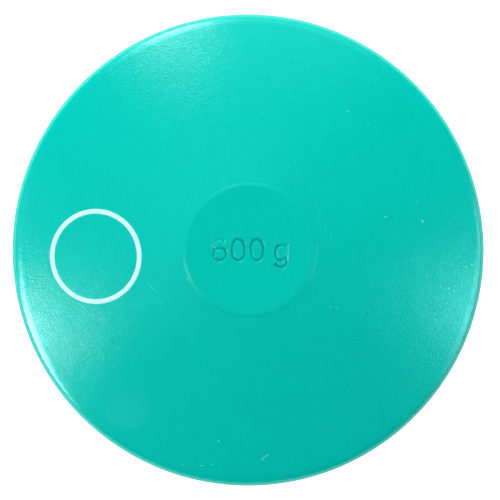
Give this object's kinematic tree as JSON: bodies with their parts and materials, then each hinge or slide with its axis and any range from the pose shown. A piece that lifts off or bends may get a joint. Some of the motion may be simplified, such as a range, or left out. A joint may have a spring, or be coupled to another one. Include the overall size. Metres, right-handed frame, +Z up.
{
  "type": "practice discus",
  "caption": "Solid rubber practice discus: two bulging cones with low round bosses, a rounded rim, a sunk weight mark and a printed ring.",
  "frame": {"origin": "middle of the lower boss's flat face, on the disc's axis, where the disc rests", "axes": "+Z up along the disc's axis, out of the face with the printed ring; +Y to the top of the sunk mark as it is read; +X to its right"},
  "size_m": [0.165, 0.165, 0.033],
  "materials": {
    "teal_rubber": "satin compression-moulded rubber, fine mould grain, light scuffs",
    "white_ink": "thin matt white printing ink"
  },
  "bodies": {
    "root": {"rubber_body": "teal_rubber", "printed_ring": "white_ink"}
  },
  "joints": []
}
